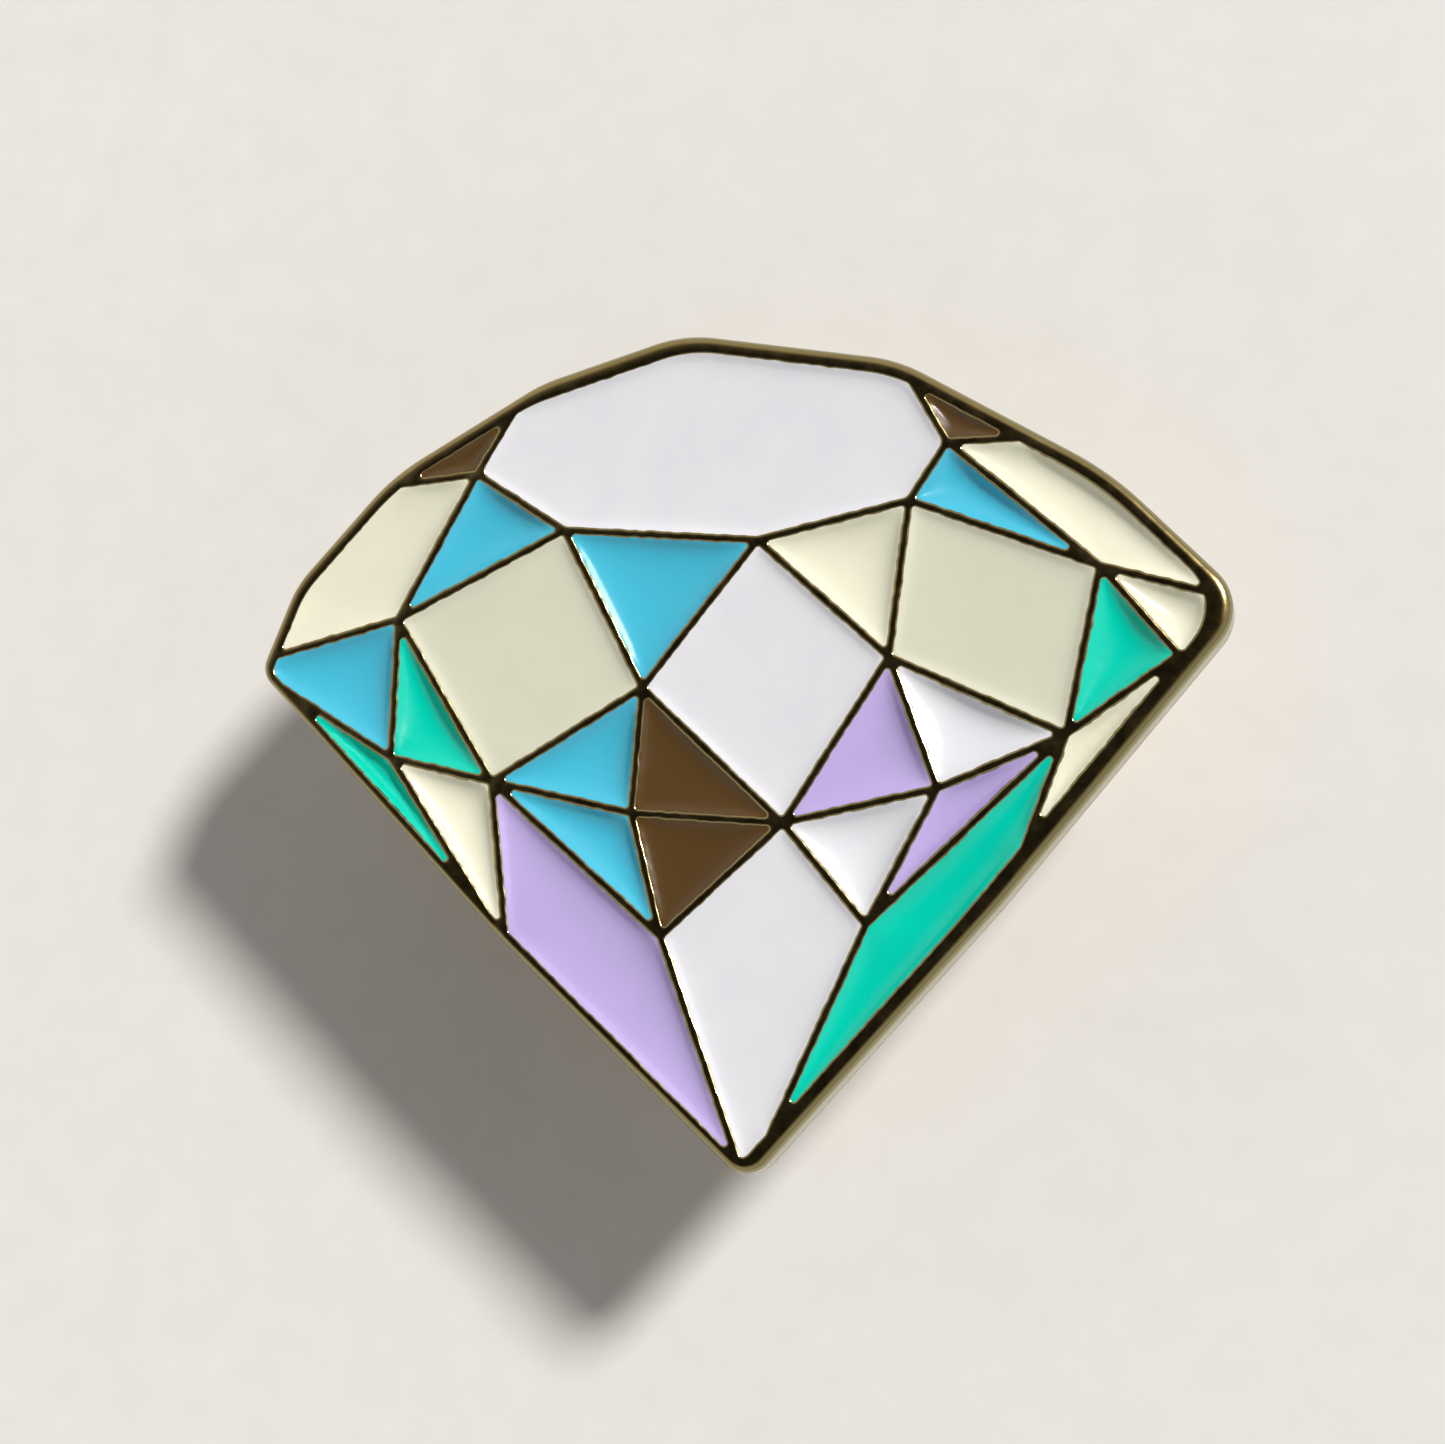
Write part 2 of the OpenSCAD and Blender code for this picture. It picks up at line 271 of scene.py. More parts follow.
def tinted(colour, factor):
    return tuple(min(1, c * f) for c, f in zip(colour, factor))


def painted_reflection_by_tilt(tree, level, painted_reflection_colour):
    """Painted reflection: colour level where the piece faces straight up or down, and a painted reflection colour
    where it slopes.
    """
    coords = tree.nodes.new("ShaderNodeTexCoord")
    split = tree.nodes.new("ShaderNodeSeparateXYZ")
    upright = tree.nodes.new("ShaderNodeMath")
    upright.operation = "ABSOLUTE"
    mix = tree.nodes.new("ShaderNodeMix")
    mix.data_type = "RGBA"
    tree.links.new(coords.outputs["Normal"], split.inputs["Vector"])
    tree.links.new(split.outputs["Z"], upright.inputs[0])
    share = tree.nodes.new("ShaderNodeMapRange")
    share.inputs["From Min"].default_value = LEVEL
    share.inputs["From Max"].default_value = SLOPED
    tree.links.new(upright.outputs["Value"], share.inputs["Value"])
    tree.links.new(share.outputs["Result"], mix.inputs["Factor"])
    tree.links.new(level, mix.inputs["A"])
    mix.inputs["B"].default_value = (*painted_reflection_colour, 1)
    return mix.outputs["Result"]


def metal(name, colour, rough, side=None):
    """Plated or plain metal: slow shifts of tone, polishing scratches and shallow dents. side is a
    painted reflection: a duller olive colour put on slopes and walls in place of what they mirror."""
    material, tree, shader, mapping = nodes_of(name)
    vector = mapping.outputs["Vector"]
    tone = noise(tree, vector, METAL_TONE, 4, 0.6)
    colours = ramp(tree, tone, [(0.38, tinted(colour, PATINA)), (0.6, colour)])
    # side, where given, is painted reflection laid on the slopes and walls
    if side:
        colours = painted_reflection_by_tilt(tree, colours, side)
    tree.links.new(colours, shader.inputs["Base Color"])
    shader.inputs["Metallic"].default_value = 1
    wear = noise(tree, vector, METAL_WEAR, 5, 0.65)
    tree.links.new(spread(tree, wear, *rough), shader.inputs["Roughness"])
    dents = bump(tree, noise(tree, vector, DENTS, 3), DENT_DEPTH, 0.7)
    strokes = noise(tree, vector, STROKES, 2, 0.5, BRUSHED)
    tree.links.new(bump(tree, strokes, STROKE_DEPTH, 0.5, dents), shader.inputs["Normal"])
    return material


def enamel(name, colour):
    """Baked soft enamel: faint clouding of the pigment and a gloss with slight orange peel."""
    material, tree, shader, mapping = nodes_of(name)
    vector = mapping.outputs["Vector"]
    clouds = noise(tree, vector, CLOUDS, 3, 0.6)
    stops = [(0.35, tinted(colour, THIN)), (0.65, colour)]
    tree.links.new(ramp(tree, clouds, stops), shader.inputs["Base Color"])
    shader.inputs["IOR"].default_value = 1.52
    haze = noise(tree, vector, HAZE, 4, 0.6)
    tree.links.new(spread(tree, haze, *ENAMEL_GLOSS), shader.inputs["Roughness"])
    peel = noise(tree, vector, PEEL, 2)
    tree.links.new(bump(tree, peel, PEEL_DEPTH, 0.25), shader.inputs["Normal"])
    return material


def srgb(*values):
    """Linear colour from 0 to 255 display values."""
    parts = [v / 255 for v in values]
    return tuple(p / 12.92 if p <= 0.04045 else ((p + 0.055) / 1.055) ** 2.4 for p in parts)


MATERIALS = {
    # The plate's last colour is painted reflection, shown on its slopes and walls in place of what they mirror.
    "plated_plate": metal("plated_plate", srgb(212, 186, 124), (0.12, 0.22), srgb(158, 150, 110)),
    "post_brass": metal("post_brass", srgb(214, 186, 120), (0.2, 0.34)),
    "clutch_brass": metal("clutch_brass", srgb(222, 186, 112), (0.16, 0.3)),
    "spring_steel": metal("spring_steel", srgb(196, 196, 192), (0.25, 0.4)),
    "enamel_white": enamel("enamel_white", srgb(228, 228, 234)),
    "enamel_beige": enamel("enamel_beige", srgb(217, 217, 196)),
    "enamel_cream": enamel("enamel_cream", srgb(233, 231, 209)),
    "enamel_blue": enamel("enamel_blue", srgb(72, 188, 217)),
    "enamel_green": enamel("enamel_green", srgb(0, 206, 180)),
    "enamel_brown": enamel("enamel_brown", srgb(88, 64, 34)),
    "enamel_lilac": enamel("enamel_lilac", srgb(190, 172, 226)),
}
for node, obj in frame["nodes"].items():
    obj.data.materials.clear()
    obj.data.materials.append(MATERIALS[SLOT_OF[node]])


def place(piece, body, node):
    """The piece rides on a body and stands for a CAD node."""
    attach(piece, body)
    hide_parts(node)
    return piece


# ---------------------------------------------------------------- plate
PLATE_TOP = box_mm("base_plate")[1].z
FLOOR_Z, ENAMEL_Z = box_mm(ENAMELS[0])[0].z, box_mm(ENAMELS[0])[1].z
LINE_ROUND = (0.14, 0.125)    # width and height of the rounding beside each recess
RIM_ROUND = (0.42, 0.34)     # most width, and height, of the rounding of the rim's outer edge
RIM_SHARE = 0.62             # share of the rim's flat width that this rounding takes
BACK_ROUND = (0.1, 0.1)      # width and height of the rounding of the back's edge
WAVE_STEP = 0.14             # spacing of the points that give a recess its uneven edge
WAVE_FADE = 0.5              # distance from a corner over which the waves die out
WAVES = ((0.014, 0.62), (0.01, 1.35), (0.006, 0.43))     # height and length of each


def waves(points):
    """How far the struck and plated edge of a recess strays from its outline at each point. The
    odd factors keep the three waves out of step."""
    total = np.zeros(len(points))
    for k, (height, length) in enumerate(WAVES):
        turn = 2 * math.pi / length
        x, y = points[:, 0] * turn, points[:, 1] * turn
        total += height * np.sin(x + 1.3 * k + 0.8 * np.sin(0.37 * y)) * np.cos(0.83 * y - 2.1 * k)
    return total


def uneven(loop):
    """The outline of a recess with small waves along its sides."""
    points, push = [], []
    for a, b in zip(loop, np.roll(loop, -1, 0)):
        length = np.linalg.norm(b - a)
        n = max(1, round(length / WAVE_STEP)) if length > 2 * WAVE_STEP else 1
        steps = np.arange(n) / n
        near = np.minimum(steps, 1 - steps) * length / WAVE_FADE if n > 1 else np.zeros(1)
        near = np.clip(near, 0, 1)
        points.append(a + (b - a) * steps[:, None])
        out = np.array([b[1] - a[1], a[0] - b[0]]) / length
        push.append(out * (near * near * (3 - 2 * near))[:, None])
    points, push = np.concatenate(points), np.concatenate(push)
    return points + push * waves(points)[:, None]


DRAWN = {node: loops_at(node, ENAMEL_Z)[0] for node in ENAMELS}
CELLS = {node: uneven(loop) for node, loop in DRAWN.items()}


def rim_widths(outline):
    """Width of the rim's rounding at each point of the outline: less where the rim is narrow."""
    room = np.min([distance(outline, segments(loop)) for loop in CELLS.values()], 0) - LINE_ROUND[0]
    steady = sum(np.roll(room, k) for k in range(-3, 4)) / 7
    return np.minimum(RIM_SHARE * np.minimum(room, steady), RIM_ROUND[0])


def recesses(shell):
    """The floor, wall and rounded edge of each recess. Returns the rings where they meet the top."""
    openings = []
    for loop in CELLS.values():
        last = shell.ring(loop, FLOOR_Z)
        shell.fill(last)
        for inset, drop in round_over(*LINE_ROUND, 6):
            edge = shell.ring(grown(loop, inset), PLATE_TOP - drop)
            shell.bridge(edge, last)
            last = edge
        openings.append(last)
    return openings


def sockets(shell, loops):
    """The blind holes that hold the posts' pads. Returns their mouths in the back."""
    depth = box_mm("post_left")[1].z
    mouths = []
    for loop in loops:
        mouth, bottom = shell.ring(loop, 0), shell.ring(loop, depth)
        shell.bridge(bottom, mouth)
        shell.fill(bottom, up=False)
        mouths.append(mouth)
    return mouths


def plate():
    """The plate, from its back's rounded edge up its side and over its rim to the recesses."""
    shell = Shell()
    outline, *holes = loops_at("base_plate", 0)
    widths = rim_widths(outline)
    rim = [(share * widths, drop) for share, drop in round_over(1, RIM_ROUND[1], 8)]
    back = round_over(*BACK_ROUND, 4)
    rings = [shell.ring(grown(outline, -inset), drop) for inset, drop in back[::-1]]
    rings += [shell.ring(grown(outline, -inset), PLATE_TOP - drop) for inset, drop in rim]
    for low, high in zip(rings, rings[1:]):
        shell.bridge(low, high)
    shell.fill(rings[-1], recesses(shell))
    shell.fill(rings[0], sockets(shell, holes), up=False)
    return shell.make("plate", MATERIALS["plated_plate"])


place(plate(), "root", "base_plate")

# ---------------------------------------------------------------- enamel
CONTACT_DROP = 0.03      # the enamel wets the line up to here, below its top
# The surface dips from the walls to the middle of a facet. Each row holds a facet's half width, the
# depth of its broad dip, and how far from a wall that dip reaches. Large facets dry flatter.
DISHES = ((0.4, 0.26, 0.6), (1.2, 0.38, 0.72), (1.8, 0.28, 0.7), (2.4, 0.1, 0.5))
LIP = (0.08, 0.11)       # depth and reach of the steep lip at every wall
# The dips lean: they are steep beside the walls on one side of a facet, and reach further from the
# walls opposite.
LEAN_DEG, LEAN = 38, 0.62         # that side's direction, from +X to +Y, and how much the dips lean
LEAN_TO = (math.cos(math.radians(LEAN_DEG)), math.sin(math.radians(LEAN_DEG)))
FULLER = {"enamel_brown": 0.3}    # share of the dip that is left in a colour whose facets are fuller
OVERLAP = 0.006          # how far the enamel's edge runs into the line, so that no gap shows
CORNER_TURN, SHORT = 9, 0.15      # a turn over so many degrees ends a side; shorter sides don't count
BANDS = (0.06, 0.14, 0.25)        # distances from the walls of the extra rows of points
GRID, GRID_ROW = 0.17, 0.87       # spacing of the points inside, and of their rows as a share of it


def sides_of(loop):
    """The long sides of a loop, without the small arcs at its corners: arrays of (start, end)."""
    ahead = np.roll(loop, -1, 0) - loop
    angle = np.arctan2(ahead[:, 1], ahead[:, 0])
    turn = np.abs((angle - np.roll(angle, 1) + math.pi) % (2 * math.pi) - math.pi)
    first = int(np.argmax(turn))
    order = [(first + k) % len(loop) for k in range(len(loop))]
    chains = []
    for i in order:
        if turn[i] > math.radians(CORNER_TURN) or not chains:
            chains.append([])
        chains[-1].append((loop[i], loop[(i + 1) % len(loop)]))
    return [np.array(c) for c in chains if sum(np.linalg.norm(b - a) for a, b in c) > SHORT]


def contains(loop, points):
    """Which points lie inside a loop."""
    x, y = points[:, 0][:, None], points[:, 1][:, None]
    (x1, y1), (x2, y2) = loop.T, np.roll(loop, -1, 0).T
    span = np.where(y2 == y1, 1e-12, y2 - y1)
    crosses = ((y1 > y) != (y2 > y)) & (x < (x2 - x1) * (y - y1) / span + x1)
    return crosses.sum(1) % 2 == 1


def climb(points, sides, reach, lean):
    """1 at the walls, falling smoothly to 0 far from all of them. lean is how much it leans."""
    away = np.ones(len(points))
    for side in sides:
        along = side[-1][1] - side[0][0]
        facing = (along[1] * LEAN_TO[0] - along[0] * LEAN_TO[1]) / np.linalg.norm(along)
        away *= 1 - np.exp(-distance(points, side) / (reach * math.exp(-lean * facing)))
    return 1 - away


def inner_points(loop):
    """Rows of points beside the walls and a triangular grid over the rest of a facet, and the
    facet's half width."""
    walls = segments(loop)
    rows = []
    for d in BANDS:
        row = grown(loop, -d)
        row = row[contains(loop, row)]
        rows.append(row[distance(row, walls) > 0.9 * d])
    low, high = loop.min(0), loop.max(0)
    across, up = np.arange(low[0], high[0], GRID), np.arange(low[1], high[1], GRID * GRID_ROW)
    grid = np.array([(x + (k % 2) * GRID / 2, y) for k, y in enumerate(up) for x in across])
    grid = grid[contains(loop, grid)]
    away = distance(grid, walls)
    rows.append(grid[away > BANDS[-1] + GRID / 2])
    return np.concatenate(rows), away.max()


def wet_width():
    """How far the enamel climbs out over the rounding of the lines."""
    turn = math.asin(1 - CONTACT_DROP / LINE_ROUND[1])
    return LINE_ROUND[0] * (1 - math.cos(turn)) + OVERLAP


def surface_drops(node, points, rim_count, half_width):
    """How far the enamel's surface lies below its rim at each point. The rim's points come first."""
    sides = sides_of(DRAWN[node])
    widths, dips, reaches = zip(*DISHES)
    dip = np.interp(half_width, widths, dips) * FULLER.get(SLOT_OF[node], 1)
    reach = np.interp(half_width, widths, reaches)
    drop = np.zeros(len(points))
    for depth, near, lean in ((dip, reach, LEAN), (*LIP, 0)):
        height = climb(points, sides, near, lean)
        height[:rim_count] = 1
        drop += depth * (1 - height) / (1 - height.min())
    return drop


def enamel_cell(node, loop):
    shell = Shell()
    edge = grown(loop, wet_width())
    inside, half_width = inner_points(loop)
    points = np.concatenate([edge, inside])
    z = PLATE_TOP - CONTACT_DROP - surface_drops(node, points, len(edge), half_width)
    bottom = shell.ring(loop, FLOOR_Z)
    first = len(shell.points)
    shell.points += [(p[0], p[1], h) for p, h in zip(points, z)]
    rim = list(range(first, first + len(edge)))
    shell.bridge(bottom, rim)
    shell.fill(bottom, up=False)
    shell.fill(rim, inner=range(first + len(edge), len(shell.points)))
    return shell.make(node + "_fill", MATERIALS[SLOT_OF[node]], 60)


for node, loop in CELLS.items():
    place(enamel_cell(node, loop), "root", node)

# ---------------------------------------------------------------- turned and bent sheet parts
def arc(centre, radius, start_deg, end_deg, steps):
    """Points of an arc in a profile plane."""
    turns = [math.radians(start_deg + (end_deg - start_deg) * k / steps) for k in range(steps + 1)]
    return [(centre[0] + radius * math.cos(t), centre[1] + radius * math.sin(t)) for t in turns]


def rounded_path(corners, radius, steps):
    """A line through the corners with its bends rounded, and the ends kept."""
    path = [np.array(corners[0])]
    for a, b, c in zip(corners, corners[1:], corners[2:]):
        a, b, c = np.array(a), np.array(b), np.array(c)
        back, ahead = (a - b), (c - b)
        reach = min(radius, np.linalg.norm(back) * 0.45, np.linalg.norm(ahead) * 0.45)
        start = b + back / np.linalg.norm(back) * reach
        end = b + ahead / np.linalg.norm(ahead) * reach
        for k in range(steps + 1):
            t = k / steps
            path.append((1 - t) ** 2 * start + 2 * t * (1 - t) * b + t * t * end)
    path.append(np.array(corners[-1]))
    return path


def resampled(path, step):
    """The same path with points no further apart than step."""
    points = [path[0]]
    for a, b in zip(path, path[1:]):
        n = max(1, math.ceil(np.linalg.norm(b - a) / step))
        points += [a + (b - a) * k / n for k in range(1, n + 1)]
    return points


def turned(shell, profile, centre, around=96):
    """A closed (radius, z) profile turned about a vertical axis. It runs anticlockwise."""
    columns = []
    for k in range(around):
        t = 2 * math.pi * k / around
        first = len(shell.points)
        shell.points += [(centre[0] + r * math.cos(t), centre[1] + r * math.sin(t), z) for r, z in profile]
        columns.append(list(range(first, len(shell.points))))
    for here, there in zip(columns, columns[1:] + columns[:1]):
        shell.bridge(here, there)


def tube(shell, rings, first_end=None):
    """Rings of points joined into one closed skin. first_end lists the faces of an end that isn't flat."""
    ids = []
    for ring in rings:
        first = len(shell.points)
        shell.points += [tuple(p) for p in ring]
        ids.append(list(range(first, len(shell.points))))
    for low, high in zip(ids, ids[1:]):
        shell.bridge(low, high)
    for face in first_end or [range(len(ids[0]))]:
        shell.faces.append(tuple(ids[0][k] for k in reversed(face)))
    shell.faces.append(tuple(ids[-1]))


# ---------------------------------------------------------------- posts
def post(side):
    """A pad soldered into the back, a shaft with a small fillet at its root, a groove and a tip."""
    node = f"post_{side}"
    low, high = box_mm(node)
    x, y = (low.x + high.x) / 2, (low.y + high.y) / 2
    pad_r = (high.x - low.x) / 2
    dims = next(m["dims"] for m in frame["record"]["mounts"] if m["name"] == node)
    r, tip = dims["r_mm"], low.z
    waist, low_end, high_end, slope = r - 0.15, tip + 1.1, tip + 1.7, 0.16
    fillet, point_r, point, play = 0.3, 0.12, 0.9, 0.01
    profile = arc((point_r, tip + point_r), point_r, -90, -20, 4)
    profile += [(r - 0.05, tip + point), (r, tip + point + 0.12), (r, low_end)]
    profile += [(waist, low_end + slope), (waist, high_end - slope), (r, high_end)]
    profile += [(r, -fillet)] + arc((r + fillet, -fillet), fillet, 180, 90, 6)[1:]
    profile += [(pad_r - play, 0.0), (pad_r - play, high.z)]
    turns = [2 * math.pi * k / 48 for k in range(48)]
    rings = [[(x + radius * math.cos(t), y + radius * math.sin(t), z) for t in turns]
             for radius, z in profile]
    shell = Shell()
    tube(shell, rings)
    place(shell.make(f"pin_{node}", MATERIALS[SLOT_OF[node]], 50), "root", node)


for side in ("left", "right"):
    post(side)

# ---------------------------------------------------------------- clutches
SHEET = 0.4                          # thickness of the cup's sheet
WING_T, WING_BEND, WING_STEP = 0.45, 0.7, 0.12   # a wing's thickness, bend radius and ring spacing
WING_IN, WING_PAD = 2.1, 2.4         # half widths inside the cover and at the finger pad
JAW_GAP, JAW_DEPTH = 0.04, 1.8       # from the axis to the jaws' edge, and the jaws' depth
JAW_NOTCH, JAW_RINGS = 0.64, 8       # radius of the notch round the post, and rings that make room
HEEL_X = 1.35                        # where a wing bends from its jaw to its pivot
WINDOW = (3.7, 4.45)                 # where a wing leaves the cover, out from the axis and down
PAD_LENGTH, PAD_DEPTH, TIP_DEPTH = 1, 6.3, 6.65  # the finger pad: its length, and depth at each end
PAD_WIDEN, PAD_DISH = 0.8, 0.16      # length over which a wing widens, and how far its edges rise
RELIEF, RELIEF_AT, RELIEF_W = 0.12, 4.1, 0.9     # hollow under the wing that clears the cover's lip
RIDGES, RIDGE_GAP, RIDGE_H = 4, 0.55, 0.1        # grip ridges: how many, spacing and height
RIDGE_FIRST, RIDGE_HALF, RIDGE_REACH = 0.9, 0.32, 1.9    # first from the tip, share of gap, half length
ACROSS = [math.sin(math.pi / 2 * k / 8) for k in range(-8, 9)]    # places across a wing, -1 to 1


def jaw_faces():
    """Faces across the first ring of a wing, whose notch keeps it from being flat."""
    n = len(ACROSS)
    last = 2 * n + 2
    faces = [(k, k + 1, last - k - 1, last - k) for k in range(n - 1)]
    return faces + [(n - 1, n, n + 1, n + 2, n + 3), (last, last + 1, last + 2, last + 3, 0)]


class Clutch:
    """One clutch, measured from its own boxes: its axis, and its depth from the cup's face."""

    def __init__(self, side):
        self.name = f"clutch_{side}"
        low, high = box_mm(f"{self.name}_cup")
        self.axis = ((low.x + high.x) / 2, (low.y + high.y) / 2)
        self.face = high.z
        self.cup_r = (high.x - low.x) / 2
        self.cup_h = high.z - low.z
        hinge = next(j for j in frame["joints"] if j["child"] == f"{self.name}_wing_front")
        self.pivot = (self.axis[1] - hinge["pos_m"][1] / MM, self.face - hinge["pos_m"][2] / MM)
        low, high = box_mm(f"{self.name}_wing_front")
        self.reach = self.axis[1] - low.y
        self.pin_len = high.x - low.x

    def cup(self):
        """A disc with a rolled rim, a pressed ring and a raised collar round the post."""
        hole, collar, face = 0.65, 1.5, self.face
        low, end = face - SHEET, self.cup_r - SHEET
        press_r, press_w, press_h = 2.6, 0.25, 0.12
        profile = [(hole, face - 0.1), (hole, face - self.cup_h + 0.08)]
        profile += [(hole + 0.08, face - self.cup_h), (collar - 0.15, face - self.cup_h)]
        profile += [(collar, face - self.cup_h + 0.15), (collar, low)]
        profile += arc((end, low), SHEET, -90, 90, 14)
        profile += [(press_r + press_w, face), (press_r, face - press_h), (press_r - press_w, face)]
        profile += [(hole + 0.1, face)]
        shell = Shell()
        turned(shell, profile, self.axis)
        return shell

    def local(self, x, y, z, way):
        """A wing's own axes, outward x, across y and depth z, to the row frame."""
        return (self.axis[0] - way * y, self.axis[1] - way * x, self.face - z)

    def wing(self, way):
        """A bent sheet lever: jaw, heel, pivot, window and a ridged, dished finger pad."""
        corners = [(JAW_GAP, JAW_DEPTH), (HEEL_X, JAW_DEPTH), self.pivot, WINDOW,
                   (self.reach - PAD_LENGTH, PAD_DEPTH), (self.reach - WING_T / 4, TIP_DEPTH)]
        path = resampled(rounded_path(corners, WING_BEND, 6), WING_STEP)
        rings = []
        for i, here in enumerate(path):
            along = path[min(i + 1, len(path) - 1)] - path[max(i - 1, 0)]
            rings.append(self.section(here, along / np.linalg.norm(along), i, way))
        shell = Shell()
        tube(shell, rings, jaw_faces())
        self.pin(shell, way)
        return shell

    def section(self, here, along, i, way):
        """Ring i round a wing's sheet: across its top, round one edge, back below and round the other."""
        normal = np.array((-along[1], along[0]))
        wide = min(1, max(0, (here[0] - WINDOW[0]) / PAD_WIDEN))
        wide = wide * wide * (3 - 2 * wide)
        out = max(0.0, here[0] - (self.reach - WING_PAD))
        pad = math.sqrt(max(WING_PAD ** 2 - out ** 2, 0.0))
        flat = max(WING_T / 2, WING_IN + (pad - WING_IN) * wide) - WING_T / 2
        dish = PAD_DISH * wide
        relief = RELIEF * max(0.0, 1 - ((here[0] - RELIEF_AT) / RELIEF_W) ** 2)
        upper, lower = [], []
        for v in ACROSS:
            y = v * flat
            notch = max(0.0, math.sqrt(max(0.0, JAW_NOTCH ** 2 - y * y)) - JAW_GAP)
            centre = here + along * notch * max(0.0, 1 - i / JAW_RINGS)
            sag = dish * v * v
            ridge = self.ridge(here[0]) * (1 - abs(v) ** 6) if abs(y) < RIDGE_REACH else 0
            top = centre - normal * (WING_T / 2 + sag + ridge)
            under = centre + normal * (WING_T / 2 - sag - relief * (1 - v * v))
            upper.append(self.local(top[0], y, top[1], way))
            lower.append(self.local(under[0], y, under[1], way))
        ends = []
        for sign in (1, -1):
            for turn in (-45, 0, 45):
                t = math.radians(turn) * sign
                at = here + normal * (WING_T / 2 * math.sin(t) - dish)
                ends.append(self.local(at[0], sign * (flat + WING_T / 2 * math.cos(t)), at[1], way))
        return upper + ends[:3] + lower[::-1] + ends[3:]

    def ridge(self, x):
        """Height of the pad's grip ridges at distance x from the clutch axis."""
        first = self.reach - RIDGE_FIRST
        for k in range(RIDGES):
            off = abs(x - (first - k * RIDGE_GAP)) / (RIDGE_GAP * RIDGE_HALF)
            if off < 1:
                return RIDGE_H * math.cos(off * math.pi / 2)
        return 0.0

    def pin(self, shell, way):
        """The wing's pivot, with rounded ends that show in the cover's holes."""
        radius, crown, half = 0.3, 0.12, self.pin_len / 2
        turns = (0.25, 0.8, 1.25, math.pi / 2)
        ends = [(radius * math.sin(t), half - crown * (1 - math.cos(t))) for t in turns]
        stations = [(r, -y) for r, y in ends] + [(r, y) for r, y in ends[::-1]]
        around = [2 * math.pi * k / 24 for k in range(24)]
        x, z = self.pivot
        rings = [[self.local(x + r * math.cos(t), y, z + r * math.sin(t), way) for t in around]
                 for r, y in stations]
        tube(shell, rings)


FLAT, SHARP = 1, 35      # degrees between two faces that count as one, and that make an edge to round


def softened(node, width, name):
    """A copy of a CAD node's mesh with its sharp edges rounded."""
    shape = bmesh.new()
    shape.from_mesh(frame["nodes"][node].data)
    bmesh.ops.remove_doubles(shape, verts=shape.verts, dist=NEAR * MM)
    bmesh.ops.dissolve_limit(shape, angle_limit=math.radians(FLAT), verts=shape.verts, edges=shape.edges)
    limit = math.radians(SHARP)
    sharp = [e for e in shape.edges if len(e.link_faces) == 2 and e.calc_face_angle(0) > limit]
    bmesh.ops.bevel(shape, geom=sharp, offset=width * MM, segments=2, profile=0.5, affect="EDGES",
                    clamp_overlap=True)
    mesh = bpy.data.meshes.new(name)
    shape.to_mesh(mesh)
    shape.free()
    mesh.materials.append(MATERIALS[SLOT_OF[node]])
    mesh.shade_smooth()
    mesh.set_sharp_from_angle(angle=math.radians(50))
    obj = bpy.data.objects.new(name, mesh)
    bpy.context.scene.collection.objects.link(obj)
    return obj


COVER_ROUND, SPRING_ROUND = 0.06, 0.05           # widths of the rounding of their edges
for side in ("left", "right"):
    clutch = Clutch(side)
    body = clutch.name
    material = MATERIALS[SLOT_OF[f"{body}_cup"]]
    place(clutch.cup().make(f"{body}_disc", material), body, f"{body}_cup")
    place(softened(f"{body}_cover", COVER_ROUND, f"{body}_dome"), body, f"{body}_cover")
    place(softened(f"{body}_spring", SPRING_ROUND, f"{body}_leaf"), body, f"{body}_spring")
    for way_name, way in (("front", 1), ("rear", -1)):
        wing = f"{body}_wing_{way_name}"
        place(clutch.wing(way).make(f"{wing}_lever", material, 50), wing, wing)

# ---------------------------------------------------------------- stage, light and camera
FLOOR_R = 2000       # radius of the round floor


def stage_floor():
    """A round pale floor under the lowest point at rest."""
    shell = Shell()
    turns = [2 * math.pi * k / 96 for k in range(96)]
    edge = [(FLOOR_R * math.cos(t), FLOOR_R * math.sin(t)) for t in turns]
    shell.fill(shell.ring(edge, cad_low.z / MM))
    material, tree, shader, mapping = nodes_of("floor")
    paper = noise(tree, mapping.outputs["Vector"], 0.6, 3, 0.5)
    colours = ramp(tree, paper, [(0.3, srgb(228, 226, 222)), (0.7, srgb(231, 229, 226))])
    tree.links.new(colours, shader.inputs["Base Color"])
    shader.inputs["Roughness"].default_value = 0.75
    shell.make("floor", material)


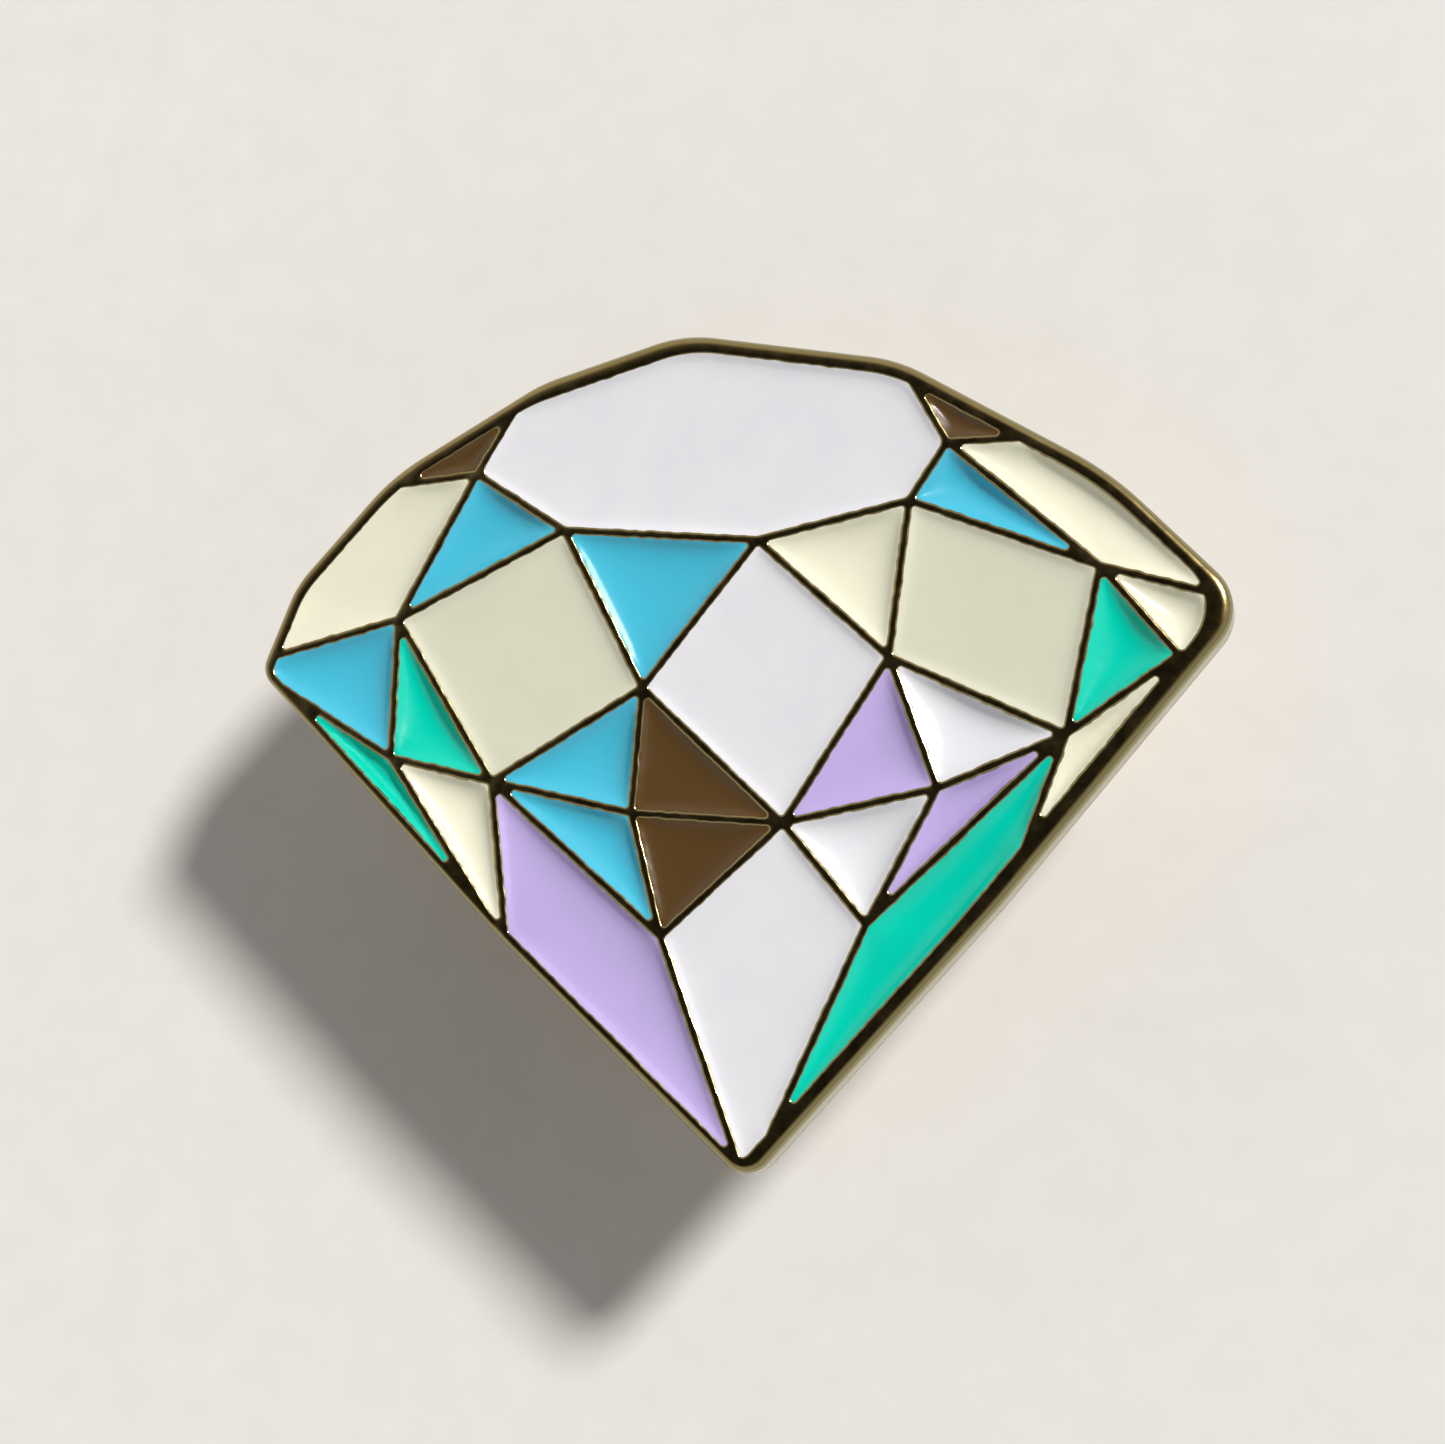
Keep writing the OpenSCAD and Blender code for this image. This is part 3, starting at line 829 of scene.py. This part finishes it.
def sun(name, azimuth, elevation, strength, angle, colour):
    """A distant lamp; its light comes from that azimuth, turned from +X to +Y, and elevation."""
    data = bpy.data.lights.new(name, "SUN")
    data.energy = strength
    data.angle = math.radians(angle)
    data.color = colour
    obj = bpy.data.objects.new(name, data)
    a, e = math.radians(azimuth), math.radians(elevation)
    towards = Vector((math.cos(a) * math.cos(e), math.sin(a) * math.cos(e), math.sin(e)))
    obj.rotation_mode = "QUATERNION"
    obj.rotation_quaternion = towards.to_track_quat("Z", "Y")
    bpy.context.scene.collection.objects.link(obj)


def studio():
    """Pale walls and a darker ceiling, which the polished lines mirror."""
    world = bpy.data.worlds.new("studio")
    bpy.context.scene.world = world
    world.use_nodes = True
    tree = world.node_tree
    coords = tree.nodes.new("ShaderNodeTexCoord")
    split = tree.nodes.new("ShaderNodeSeparateXYZ")
    tree.links.new(coords.outputs["Generated"], split.inputs["Vector"])
    walls, ceiling = srgb(236, 235, 232), srgb(30, 30, 32)
    stops = [(0.0, walls), (0.6, tinted(walls, (0.8,) * 3)),
             (0.84, tinted(walls, (0.3,) * 3)), (0.94, ceiling)]
    tree.links.new(ramp(tree, split.outputs["Z"], stops), tree.nodes["Background"].inputs["Color"])
    tree.nodes["Background"].inputs["Strength"].default_value = 0.66


def camera():
    """It looks down at the face, tilt off straight above, on the side that foot gives from +X to +Y."""
    data = bpy.data.cameras.new("camera")
    data.sensor_width, data.lens = 36, 72.25
    tilt, foot, distance_mm = math.radians(15), math.radians(-35), 102
    target = Vector((-0.29, 0.79, PLATE_TOP)) * MM
    back = Vector((math.sin(tilt) * math.cos(foot), math.sin(tilt) * math.sin(foot), math.cos(tilt)))
    right = Vector((0, 1, 0)).cross(back).normalized()
    up = back.cross(right)
    obj = bpy.data.objects.new("camera", data)
    turn = Matrix((right, up, back)).transposed().to_4x4()
    obj.matrix_world = Matrix.Translation(target + back * distance_mm * MM) @ turn
    data.clip_start, data.clip_end = 0.005, 10
    bpy.context.scene.collection.objects.link(obj)
    bpy.context.scene.camera = obj


stage_floor()
sun("key", azimuth=38, elevation=44, strength=3.4, angle=10, colour=(1, 0.98, 0.95))
studio()
camera()
bpy.context.scene.view_settings.view_transform = "Standard"
bpy.context.scene.view_settings.look = "None"
